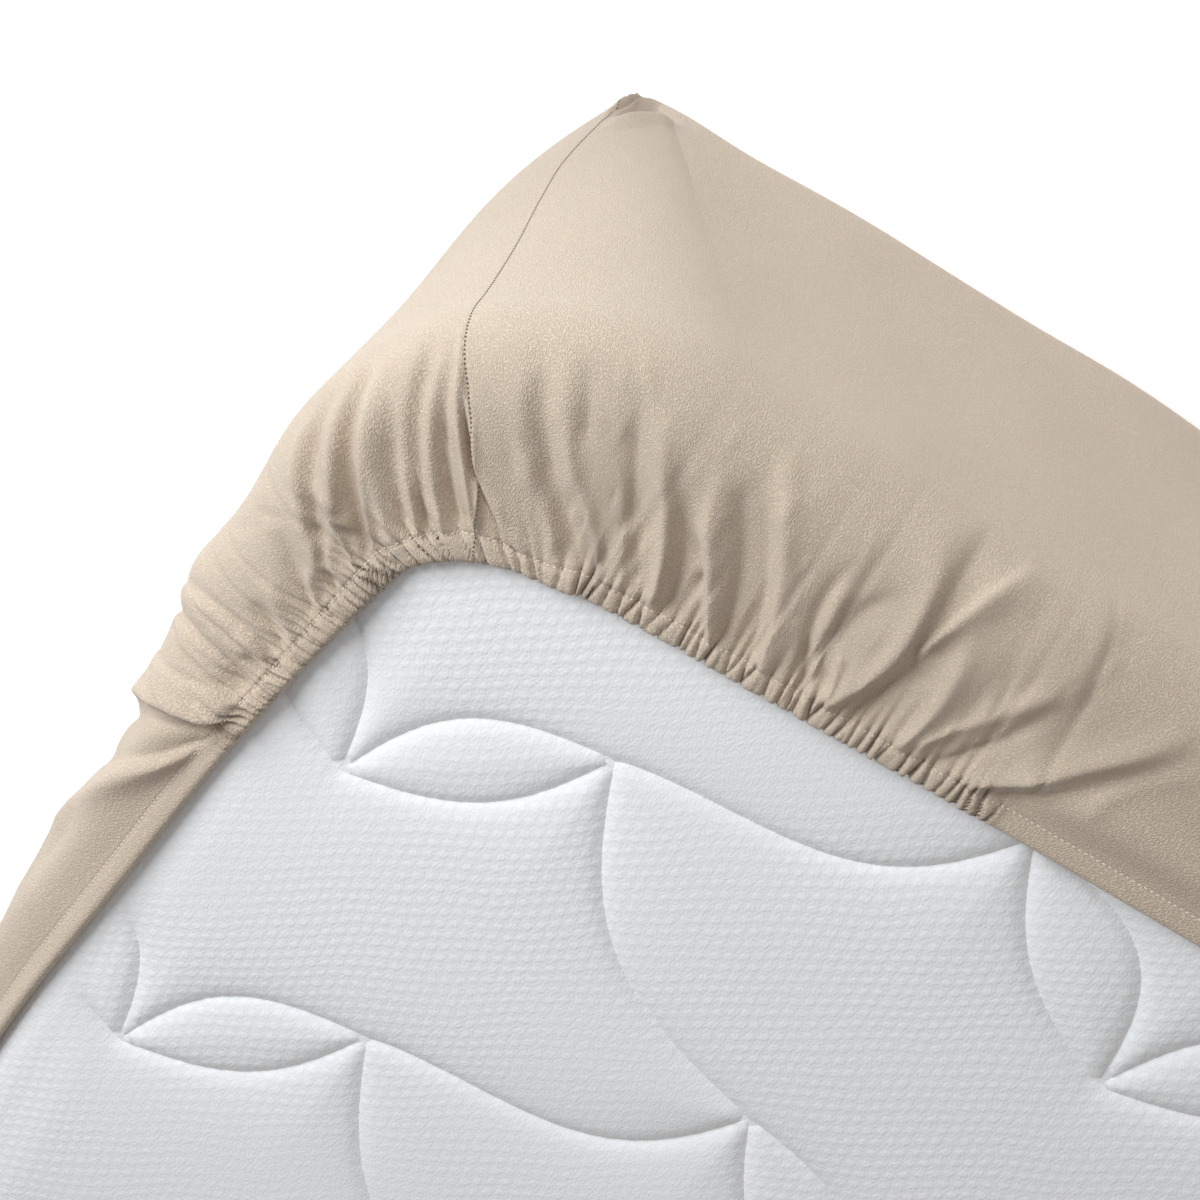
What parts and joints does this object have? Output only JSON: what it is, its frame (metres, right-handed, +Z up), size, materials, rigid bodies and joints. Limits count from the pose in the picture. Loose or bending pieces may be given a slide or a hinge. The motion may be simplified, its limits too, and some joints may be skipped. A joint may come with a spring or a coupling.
{
  "type": "fitted sheet on a mattress",
  "caption": "Fitted sheet with an elastic-gathered hem and sewn corners, pulled over a plain mattress that lies with its underside up, so the drawn-in flap shows.",
  "frame": {"origin": "on the floor, under the middle of the mattress", "axes": "+X along the length of the mattress, +Y across its width, +Z up; the underside of the mattress is up and its covered sleeping face lies on the floor"},
  "size_m": [2.0004, 1.4, 0.2927],
  "materials": {
    "sheet_cloth": "matte, finely woven and lightly brushed",
    "mattress_ticking": "matte quilted knit"
  },
  "bodies": {
    "root": {"fitted_sheet": "sheet_cloth", "mattress": "mattress_ticking"}
  },
  "joints": []
}
